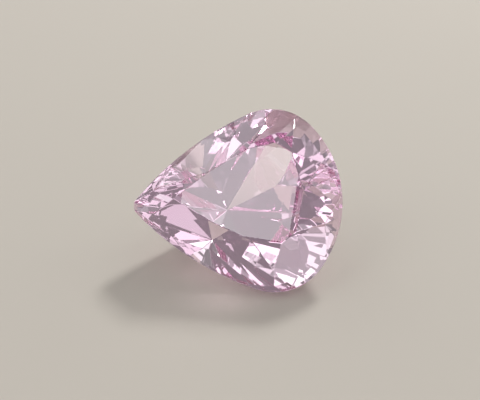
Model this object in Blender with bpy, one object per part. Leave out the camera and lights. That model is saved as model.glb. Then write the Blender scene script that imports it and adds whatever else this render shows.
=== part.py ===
# A cut kunzite: one loose pear-shaped stone, lying on a facet of its pavilion
# It is ground from a block, plane by plane, in the order in which a cutter works:
# outline, table, crown mains, stars, upper girdle facets, pavilion steps, pavilion mains

import math

import bmesh
import bpy
from mathutils import Matrix, Vector

# Driving sizes, in millimetres and degrees, with the table up and the tip towards -X
HEAD_RADIUS = 13.3
HEAD_CENTRE_X = -1.1
SHOULDER_STARTS = 40.0
SHOULDER_RADIUS = 6.55
WING_STARTS = 111.7
WING_RADIUS = 36.0
TIP_RADIUS = 1.3
GIRDLE_THICKNESS = 0.8
CROWN_HEIGHT = 3.4
STAR_DEPTH = 0.5
CULET_X = -1.7

# Pavilion steps below the girdle: (share of the outline where the step starts, its angle)
PAVILION_STEPS = ((1.0, 55.0), (0.92, 52.0), (0.83, 49.5))
STEP_SPACES = 21
MAINS_START = 0.73
MAINS_ANGLE = 46.5

# Azimuths of the pavilion's mains on one side, from the tip to the head
REST_AZIMUTH = 96.0
MAIN_AZIMUTHS = (180.0, 138.0, REST_AZIMUTH, 40.0, 0.0)

# Corners of the table on one side of the long axis, from the tip to the head
TABLE_CORNERS = ((-7.15, 0.0), (-2.95, 2.9), (1.5, 5.3), (4.85, 5.8), (6.6, 4.6), (7.65, 0.0))

# Upper girdle facets in each gap between crown mains, from the tip to the head
BREAKS = (4, 3, 2, 3, 3)

# The girdle is ground with this many small flats, so that its outline looks round
GIRDLE_FLATS = 120
BLOCK_SIZE = 60.0

# A corner this near a cut lies on it, and corners this near each other are one
CUT_TOLERANCE = 0.002
MERGE_DISTANCE = 0.008

OUTLINE_SAMPLES = 400
TINY = 1e-6
MM = 0.001

NAME = "kunzite"


def compass(azimuth):
    """Level unit vector at an azimuth in degrees."""
    angle = math.radians(azimuth)
    return Vector((math.cos(angle), math.sin(angle), 0.0))


def outline_arcs():
    """The pear as tangent arcs: (azimuth where the arc ends, centre, radius)."""
    head = Vector((HEAD_CENTRE_X, 0.0, 0.0))
    shoulder = head + (HEAD_RADIUS - SHOULDER_RADIUS) * compass(SHOULDER_STARTS)
    wing = shoulder + (SHOULDER_RADIUS - WING_RADIUS) * compass(WING_STARTS)
    # The wing ends where the small tip arc, centred on the long axis, takes over
    tip_starts = 180.0 - math.degrees(math.asin(-wing.y / (WING_RADIUS - TIP_RADIUS)))
    tip = wing + (WING_RADIUS - TIP_RADIUS) * compass(tip_starts)
    return (
        (SHOULDER_STARTS, head, HEAD_RADIUS),
        (WING_STARTS, shoulder, SHOULDER_RADIUS),
        (tip_starts, wing, WING_RADIUS),
        (180.0, tip, TIP_RADIUS),
    )


def girdle_point(azimuth, height=0.0):
    """Point of the pear outline whose outward direction is the azimuth."""
    side = math.copysign(1.0, azimuth)
    for arc_end, centre, radius in outline_arcs():
        if abs(azimuth) <= arc_end + TINY:
            break
    point = centre + radius * compass(abs(azimuth))
    return Vector((point.x, side * point.y, height))


def azimuth_between(first, last, share):
    """Azimuth reached after a share of the way along the outline between two others."""
    step = (last - first) / OUTLINE_SAMPLES
    azimuths = [first + step * i for i in range(OUTLINE_SAMPLES + 1)]
    points = [girdle_point(a) for a in azimuths]
    lengths = [(b - a).length for a, b in zip(points, points[1:])]
    wanted = share * sum(lengths) - TINY
    travelled = 0.0
    for azimuth, length in zip(azimuths, lengths):
        if travelled >= wanted:
            return azimuth
        travelled += length
    return last


def plane_through(a, b, c):
    """Plane through three points as (point, outward normal), outward from the stone's middle."""
    normal = (b - a).cross(c - a).normalized()
    middle = Vector((0.0, 0.0, -CROWN_HEIGHT))
    if normal.dot(a - middle) < 0.0:
        normal = -normal
    return a, normal


def plane_along(a, b, direction):
    """Plane through two points that also holds a direction."""
    return plane_through(a, b, a + direction)


def on_ridge(first, second, height):
    """Point at a height on the ridge where two facet planes meet, on the outer side."""
    point_a, normal_a = first
    point_b, normal_b = second
    rows = Matrix((normal_a, normal_b, Vector((0.0, 0.0, 1.0))))
    return rows.inverted() @ Vector((normal_a.dot(point_a), normal_b.dot(point_b), height))


def mirrored(plane):
    """The same plane on the other side of the long axis."""
    point, normal = plane
    return Vector((point.x, -point.y, point.z)), Vector((normal.x, -normal.y, normal.z))


def both_sides(planes):
    """Each plane and its mirror, with planes on the long axis kept once."""
    result = []
    for plane in planes:
        result.append(plane)
        if abs(plane[1].y) > TINY:
            result.append(mirrored(plane))
    return result


def edge_azimuth(start, end):
    """Azimuth that an edge of the table faces, with the corners listed from tip to head."""
    return math.degrees(math.atan2(end.x - start.x, start.y - end.y))


def crown_planes():
    """Mains, stars and upper girdle facets, which meet at shared points."""
    top = GIRDLE_THICKNESS / 2
    table_height = top + CROWN_HEIGHT
    corners = [Vector((x, y, table_height)) for x, y in TABLE_CORNERS]
    faces = [edge_azimuth(a, b) for a, b in zip(corners, corners[1:])]
    # One main at each corner of the table
    azimuths = [180.0] + [(a + b) / 2 for a, b in zip(faces, faces[1:])] + [0.0]
    feet = [girdle_point(a, top) for a in azimuths]
    mains = [plane_along(f, c, compass(a + 90.0)) for f, c, a in zip(feet, corners, azimuths)]
    # The facets beside the tip start where the wing ends
    azimuths[0] = outline_arcs()[2][0]
    stars = []
    breaks = []
    for i, count in enumerate(BREAKS):
        star_tip = on_ridge(mains[i], mains[i + 1], table_height - STAR_DEPTH * CROWN_HEIGHT)
        stars.append(plane_through(corners[i], corners[i + 1], star_tip))
        shares = [j / count for j in range(count + 1)]
        rim = [girdle_point(azimuth_between(azimuths[i], azimuths[i + 1], s), top) for s in shares]
        breaks.extend(plane_through(star_tip, a, b) for a, b in zip(rim, rim[1:]))
    return mains, stars, breaks


def tier(azimuths, start, end, upper, lower):
    """Facets that slope from one share of the outline at one height to another lower down."""
    centre = Vector((CULET_X, 0.0, 0.0))
    planes = []
    for azimuth in azimuths:
        edge = girdle_point(azimuth) - centre
        outer = centre + edge * start + Vector((0.0, 0.0, upper))
        inner = centre + edge * end + Vector((0.0, 0.0, lower))
        planes.append(plane_along(outer, inner, compass(azimuth + 90.0)))
    return planes


def pavilion_planes():
    """Steps below the girdle, then the mains that meet at the culet, as one list of tiers."""
    reach = (girdle_point(REST_AZIMUTH) - Vector((CULET_X, 0.0, 0.0))).dot(compass(REST_AZIMUTH))
    shares = [i / STEP_SPACES for i in range(STEP_SPACES + 1)]
    step_azimuths = [azimuth_between(0.0, 180.0, share) for share in shares]
    tiers = [(start, angle, step_azimuths) for start, angle in PAVILION_STEPS]
    tiers.append((MAINS_START, MAINS_ANGLE, MAIN_AZIMUTHS))
    ends = [start for start, angle, azimuths in tiers[1:]] + [0.0]
    planes = []
    height = -GIRDLE_THICKNESS / 2
    for (start, angle, azimuths), end in zip(tiers, ends):
        lower = height - (start - end) * reach * math.tan(math.radians(angle))
        planes.append(tier(azimuths, start, end, height, lower))
        height = lower
    return planes


def grind(stone, planes):
    """Grind flats: cut away what lies outside each plane, and close the cut."""
    for point, normal in planes:
        cut = bmesh.ops.bisect_plane(
            stone,
            geom=stone.verts[:] + stone.edges[:] + stone.faces[:],
            dist=CUT_TOLERANCE,
            plane_co=point,
            plane_no=normal,
            clear_outer=True,
        )
        edges = [e for e in cut["geom_cut"] if isinstance(e, bmesh.types.BMEdge)]
        open_edges = [e for e in edges if e.is_boundary]
        if open_edges:
            bmesh.ops.holes_fill(stone, edges=open_edges)


def girdle_planes():
    """Small upright flats around the pear."""
    planes = []
    for i in range(GIRDLE_FLATS):
        azimuth = 360.0 * i / GIRDLE_FLATS - 180.0
        planes.append((girdle_point(azimuth), compass(azimuth)))
    return planes


def table_plane():
    """The one large level facet on top."""
    height = GIRDLE_THICKNESS / 2 + CROWN_HEIGHT
    return Vector((0.0, 0.0, height)), Vector((0.0, 0.0, 1.0))


def resting_pose():
    """Turn that lays the stone on its resting main, with its long axis along X."""
    down = pavilion_planes()[-1][MAIN_AZIMUTHS.index(REST_AZIMUTH)][1]
    down = Vector((down.x, -down.y, down.z))
    lay = down.rotation_difference(Vector((0.0, 0.0, -1.0))).to_matrix()
    long_axis = lay @ Vector((1.0, 0.0, 0.0))
    turn = Matrix.Rotation(-math.atan2(long_axis.y, long_axis.x), 3, "Z")
    return (turn @ lay).to_4x4()


def ground_stone():
    """The finished stone as a mesh in metres, its lowest facet on the ground."""
    stone = bmesh.new()
    bmesh.ops.create_cube(stone, size=BLOCK_SIZE)
    crown_mains, stars, upper_breaks = crown_planes()
    grind(stone, girdle_planes())
    grind(stone, [table_plane()])
    grind(stone, both_sides(crown_mains))
    grind(stone, both_sides(stars))
    grind(stone, both_sides(upper_breaks))
    for step in pavilion_planes():
        grind(stone, both_sides(step))
    bmesh.ops.remove_doubles(stone, verts=stone.verts, dist=MERGE_DISTANCE)
    bmesh.ops.transform(stone, matrix=resting_pose(), verts=stone.verts)
    low = [min(v.co[i] for v in stone.verts) for i in range(3)]
    high = [max(v.co[i] for v in stone.verts) for i in range(3)]
    base = Vector(((low[0] + high[0]) / 2, (low[1] + high[1]) / 2, low[2]))
    bmesh.ops.translate(stone, vec=-base, verts=stone.verts)
    bmesh.ops.scale(stone, vec=(MM, MM, MM), verts=stone.verts)
    bmesh.ops.recalc_face_normals(stone, faces=stone.faces)
    mesh = bpy.data.meshes.new(NAME)
    stone.to_mesh(mesh)
    stone.free()
    return mesh


def crystal_material():
    """Clear lilac-pink crystal with a high polish."""
    material = bpy.data.materials.new("kunzite crystal")
    material.use_nodes = True
    shader = material.node_tree.nodes["Principled BSDF"]
    shader.inputs["Base Color"].default_value = (0.87, 0.66, 0.80, 1.0)
    shader.inputs["Roughness"].default_value = 0.02
    shader.inputs["Metallic"].default_value = 0.0
    shader.inputs["IOR"].default_value = 1.67
    shader.inputs["Transmission Weight"].default_value = 1.0
    return material


def build():
    """Clear the scene and put the finished stone in its own collection."""
    for thing in list(bpy.data.objects):
        bpy.data.objects.remove(thing)
    collection = bpy.data.collections.new("cut kunzite")
    bpy.context.scene.collection.children.link(collection)
    stone = bpy.data.objects.new(NAME, ground_stone())
    stone.data.materials.append(crystal_material())
    collection.objects.link(stone)


build()
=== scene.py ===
import math

import bmesh
import bpy
from mathutils import Matrix, Vector


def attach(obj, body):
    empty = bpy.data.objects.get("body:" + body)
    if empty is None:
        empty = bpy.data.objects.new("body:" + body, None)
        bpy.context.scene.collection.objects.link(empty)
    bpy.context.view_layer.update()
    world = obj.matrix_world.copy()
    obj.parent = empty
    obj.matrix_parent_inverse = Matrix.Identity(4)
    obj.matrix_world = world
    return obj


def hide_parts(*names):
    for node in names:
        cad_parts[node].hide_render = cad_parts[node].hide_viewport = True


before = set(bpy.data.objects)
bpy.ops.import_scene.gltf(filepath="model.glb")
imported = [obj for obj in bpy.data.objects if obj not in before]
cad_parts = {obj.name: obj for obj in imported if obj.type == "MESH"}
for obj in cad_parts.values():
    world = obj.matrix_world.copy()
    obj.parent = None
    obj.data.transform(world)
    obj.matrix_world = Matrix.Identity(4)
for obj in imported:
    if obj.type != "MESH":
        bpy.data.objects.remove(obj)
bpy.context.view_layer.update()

# The camera stands a hand's width in front of the stone and looks down on it at 33 degrees, which
# shows it the table nearly face on. The sensor and the focal length are in millimetres.
MM = 0.001
AIM = Vector((0.26, 0.10, 8.14)) * MM
CAMERA_AZIMUTH = 0.79
CAMERA_HEIGHT = 32.7
CAMERA_DISTANCE = 103.7 * MM
SENSOR_WIDTH = 36.0
FOCAL_LENGTH = 65.8
NEAREST_SEEN = 5 * MM

lens = bpy.data.cameras.new("photo camera")
lens.sensor_width = SENSOR_WIDTH
lens.lens = FOCAL_LENGTH
lens.clip_start = NEAREST_SEEN
camera = bpy.data.objects.new("photo camera", lens)
turn = math.radians(CAMERA_AZIMUTH)
rise = math.radians(CAMERA_HEIGHT)
back = Vector((math.sin(turn) * math.cos(rise), -math.cos(turn) * math.cos(rise), math.sin(rise)))
camera.location = AIM + back * CAMERA_DISTANCE
camera.rotation_euler = (-back).to_track_quat("-Z", "Y").to_euler()
bpy.context.scene.collection.objects.link(camera)
bpy.context.scene.camera = camera


# The stone: one pear-cut kunzite, ground and polished from a single clear crystal of spodumene.
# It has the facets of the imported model, and where two of them meet, the edge is worn to a thin
# flat that catches a line of light. It lies loose on one facet of its pavilion.

# Lengths here are in millimetres. The worn flats are drawn several times wider than the hundredth
# of a millimetre that they really are, so that they show. Only an edge that is long enough, and
# has a large enough facet on either side, is worn.
WORN_EDGE = 0.08
SHORTEST_WORN = 0.25
SMALLEST_FACET = 0.01
SAME_POINT = 0.002
CUT_TOLERANCE = 0.0005

# These are degrees. Triangles that turn less than the first are one facet, and an edge that turns
# more than the second is sharp.
FLAT_TURN = 0.1
SHARP_TURN = 4.0


def linear(colour):
    """Linear colour of an sRGB hex value."""
    parts = [int(colour[i:i + 2], 16) / 255 for i in (1, 3, 5)]
    return tuple(p / 12.92 if p <= 0.04045 else ((p + 0.055) / 1.055) ** 2.4 for p in parts) + (1.0,)


def add(tree, kind, settings=None, **links):
    """A node with its plain settings, and links into its named sockets."""
    node = tree.nodes.new(kind)
    for name, value in (settings or {}).items():
        if name in node.inputs:
            node.inputs[name].default_value = value
        else:
            setattr(node, name, value)
    for name, socket in links.items():
        tree.links.new(socket, node.inputs[name.replace("_", " ")])
    return node


def blank_material(name):
    """An empty material with only its output."""
    material = bpy.data.materials.new(name)
    material.use_nodes = True
    material.node_tree.nodes.clear()
    return material, material.node_tree, add(material.node_tree, "ShaderNodeOutputMaterial")


# Polished kunzite: spodumene with an IOR of 1.668. A trace of manganese takes green light out of
# it, and less blue, so a short way through the stone looks clear and a long way looks lilac. The
# colour lies in faint zones a few millimetres wide. The girdle is fine ground and not polished.
KUNZITE_IOR = 1.668
BODY_COLOUR = "#f3afdf"
BODY_DENSITY = 20.0
CLEAR_ZONE = "#ffffff"
PINK_ZONE = "#fbeff8"
ZONE_WIDTH = 4 * MM
ZONE_DETAIL = 2.0
GIRDLE_ROUGHNESS = 0.35

crystal_look, tree, out = blank_material("polished kunzite")
place = add(tree, "ShaderNodeTexCoord")
zone_settings = {"Scale": 1 / ZONE_WIDTH, "Detail": ZONE_DETAIL}
zones = add(tree, "ShaderNodeTexNoise", zone_settings, Vector=place.outputs["Object"])
# A colour mix has its two colours in sockets 6 and 7, and gives its result from socket 2
tint = add(tree, "ShaderNodeMix", {"data_type": "RGBA"}, Factor=zones.outputs["Fac"])
tint.inputs[6].default_value = linear(CLEAR_ZONE)
tint.inputs[7].default_value = linear(PINK_ZONE)
girdle = add(tree, "ShaderNodeAttribute", {"attribute_name": "girdle"})
frost = add(tree, "ShaderNodeMath", {"operation": "MULTIPLY"})
tree.links.new(girdle.outputs["Fac"], frost.inputs[0])
frost.inputs[1].default_value = GIRDLE_ROUGHNESS
surface = add(tree, "ShaderNodeBsdfPrincipled", {"IOR": KUNZITE_IOR, "Transmission Weight": 1.0},
              Base_Color=tint.outputs[2], Roughness=frost.outputs["Value"])
body = add(tree, "ShaderNodeVolumeAbsorption", {"Color": linear(BODY_COLOUR), "Density": BODY_DENSITY})
tree.links.new(surface.outputs["BSDF"], out.inputs["Surface"])
tree.links.new(body.outputs["Volume"], out.inputs["Volume"])

# The copy of the model's mesh is merged into whole facets, and then each sharp edge is found
gem = bmesh.new()
gem.from_mesh(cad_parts["kunzite"].data)
bmesh.ops.scale(gem, vec=(1 / MM, 1 / MM, 1 / MM), verts=gem.verts)
bmesh.ops.remove_doubles(gem, verts=gem.verts, dist=SAME_POINT)
bmesh.ops.dissolve_limit(gem, angle_limit=math.radians(FLAT_TURN), verts=gem.verts, edges=gem.edges)
bmesh.ops.recalc_face_normals(gem, faces=gem.faces)
worn = []
for edge in gem.edges:
    bend = edge.calc_face_angle_signed()
    facets = edge.link_faces
    smallest = min(facet.calc_area() for facet in facets)
    if bend > math.radians(SHARP_TURN) and edge.calc_length() > SHORTEST_WORN and smallest > SMALLEST_FACET:
        outward = (facets[0].normal + facets[1].normal).normalized()
        middle = (edge.verts[0].co + edge.verts[1].co) / 2
        worn.append((middle - outward * WORN_EDGE / 2 * math.tan(bend / 2), outward))

# A plane takes a thin strip off each of those edges, and the cut is closed
for point, outward in worn:
    everything = gem.verts[:] + gem.edges[:] + gem.faces[:]
    cut = bmesh.ops.bisect_plane(
        gem, geom=everything, dist=CUT_TOLERANCE, plane_co=point, plane_no=outward, clear_outer=True
    )
    rim = [item for item in cut["geom_cut"] if isinstance(item, bmesh.types.BMEdge) and item.is_boundary]
    if rim:
        bmesh.ops.holes_fill(gem, edges=rim)
bmesh.ops.recalc_face_normals(gem, faces=gem.faces)

# The table is the largest facet. The girdle's flats stand square to it, so the cosine between them
# is almost nothing
SQUARE_COSINE = 0.01
table = max(gem.faces, key=lambda face: face.calc_area()).normal.copy()
upright = gem.faces.layers.float.new("girdle")
for face in gem.faces:
    face[upright] = 1.0 if abs(face.normal.dot(table)) < SQUARE_COSINE else 0.0
bmesh.ops.scale(gem, vec=(MM, MM, MM), verts=gem.verts)

stone_mesh = bpy.data.meshes.new("cut_stone")
gem.to_mesh(stone_mesh)
gem.free()
stone_mesh.materials.append(crystal_look)
stone = bpy.data.objects.new("cut_stone", stone_mesh)
bpy.context.scene.collection.objects.link(stone)
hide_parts("kunzite")
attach(stone, "root")


# The floor is a plain pale board, far larger than the stone, painted with a matt paint that
# scatters light evenly. It lies a hair below the stone, so that the two don't share a plane.
FLOOR_SIZE = 3.0
FLOOR_LEVEL = -0.02 * MM
BOARD_COLOUR = "#cac3b9"
BOARD_ROUGHNESS = 0.8
BOARD_SPECULAR = 0.2

bpy.ops.mesh.primitive_plane_add(size=FLOOR_SIZE, location=(0.0, 0.0, FLOOR_LEVEL))
floor = bpy.context.object
floor.name = "floor"
board, tree, out = blank_material("matt painted board")
surface = add(tree, "ShaderNodeBsdfPrincipled", {
    "Base Color": linear(BOARD_COLOUR),
    "Roughness": BOARD_ROUGHNESS,
    "Specular IOR Level": BOARD_SPECULAR,
})
tree.links.new(surface.outputs["BSDF"], out.inputs["Surface"])
floor.data.materials.append(board)


# Soft studio light. Windows and cards stand around the stone, each facing it from the same
# distance, and the room is dim between them. Bars part the windows into panes, which the facets
# show many times over as small bright bricks. A pane fills this share of its place.
MIDDLE = Vector((0.0, 0.0, 8.0)) * MM
LIGHT_DISTANCE = 600 * MM
PANE_SHARE = 0.72


def soft_card(name, azimuth, height, width, tall, brightness):
    """An evenly bright rectangle. Azimuth is from straight behind the stone towards the right, and
    height is from the floor; width and tall are the degrees that it spans, seen from the stone.
    A brightness of 1 shows as white."""
    turn = math.radians(azimuth)
    rise = math.radians(height)
    outward = Vector((math.sin(turn) * math.cos(rise), math.cos(turn) * math.cos(rise), math.sin(rise)))
    lamp = bpy.data.lights.new(name, "AREA")
    lamp.shape = "RECTANGLE"
    lamp.size = 2 * LIGHT_DISTANCE * math.tan(math.radians(width / 2)) * math.cos(rise)
    lamp.size_y = 2 * LIGHT_DISTANCE * math.tan(math.radians(tall / 2))
    lamp.energy = brightness * math.pi * lamp.size * lamp.size_y
    holder = bpy.data.objects.new(name, lamp)
    facing = (-outward).to_track_quat("-Z", "Y").to_matrix().to_4x4()
    holder.matrix_world = Matrix.Translation(MIDDLE + outward * LIGHT_DISTANCE) @ facing
    bpy.context.scene.collection.objects.link(holder)
    return holder


def paned_window(name, azimuth, height, width, tall, across, up, brightness):
    """A window of so many panes across and up, with dark bars between the panes."""
    column = width / (across - 1 + PANE_SHARE)
    row = tall / (up - 1 + PANE_SHARE)
    for i in range(across):
        for j in range(up):
            pane_azimuth = azimuth - width / 2 + column * (i + PANE_SHARE / 2)
            pane_height = height - tall / 2 + row * (j + PANE_SHARE / 2)
            soft_card(name, pane_azimuth, pane_height, column * PANE_SHARE, row * PANE_SHARE, brightness)


# The table mirrors this card towards the camera, which lays a pale veil over it. Only what
# mirrors shows the card, so that no facet shines it through the table.
veil = soft_card("veil card", -168.7, 54.7, 14.6, 7, 3.7)
veil.visible_transmission = False

# Azimuth, height, width, tall and brightness
soft_card("key lamp", 28, 46, 15, 11, 40)
soft_card("left wall", -70, 35, 60, 55, 0.25)
soft_card("near left wall", -122, 30, 40, 50, 0.25)
soft_card("right wall", 60, 35, 60, 60, 0.25)
soft_card("near right wall", 110, 24, 60, 40, 0.2)
soft_card("back wall", -15, 30, 50, 50, 0.2)

# Azimuth, height, width, tall, panes across, panes up and brightness
paned_window("left window", -35, 34, 40, 28, 5, 4, 1.2)
paned_window("small left window", -45, 44, 10, 16, 2, 3, 1.2)
paned_window("side window", -115, 44, 40, 36, 6, 5, 1.0)
paned_window("left skylight", -100, 66, 60, 30, 3, 2, 1.0)
paned_window("low side window", -85, 15, 50, 24, 8, 4, 0.8)
paned_window("near left window", -142, 7, 34, 10, 3, 2, 0.9)
paned_window("near right window", 136, 9, 46, 22, 6, 4, 0.9)
paned_window("low near window", 171, 5, 18, 9, 3, 1, 1.5)
paned_window("high near right window", 148, 50, 30, 14, 4, 3, 0.6)
paned_window("near skylight", 150, 73, 50, 10, 4, 1, 0.9)
paned_window("right window", 75, 20, 50, 14, 7, 2, 1.5)
paned_window("tall right window", 75, 47, 12, 40, 1, 2, 1.2)
paned_window("right skylight", 105, 64, 36, 32, 3, 4, 0.8)
paned_window("back window", 35, 15, 14, 32, 4, 2, 0.9)

# The dim room between the lights is an even grey.
ROOM_COLOUR = "#ffffff"
ROOM_BRIGHTNESS = 0.26

room = bpy.data.worlds.new("dim room")
room.use_nodes = True
sky = room.node_tree.nodes["Background"]
sky.inputs["Color"].default_value = linear(ROOM_COLOUR)
sky.inputs["Strength"].default_value = ROOM_BRIGHTNESS
bpy.context.scene.world = room

# Colours are shown as they are, and light is followed through many facets.
MOST_BOUNCES = 32
MOST_MIRRORINGS = 16
CAUSTIC_BLUR = 0.3

bpy.context.scene.view_settings.view_transform = "Standard"
paths = bpy.context.scene.cycles
paths.max_bounces = MOST_BOUNCES
paths.transmission_bounces = MOST_BOUNCES
paths.glossy_bounces = MOST_MIRRORINGS
paths.blur_glossy = CAUSTIC_BLUR
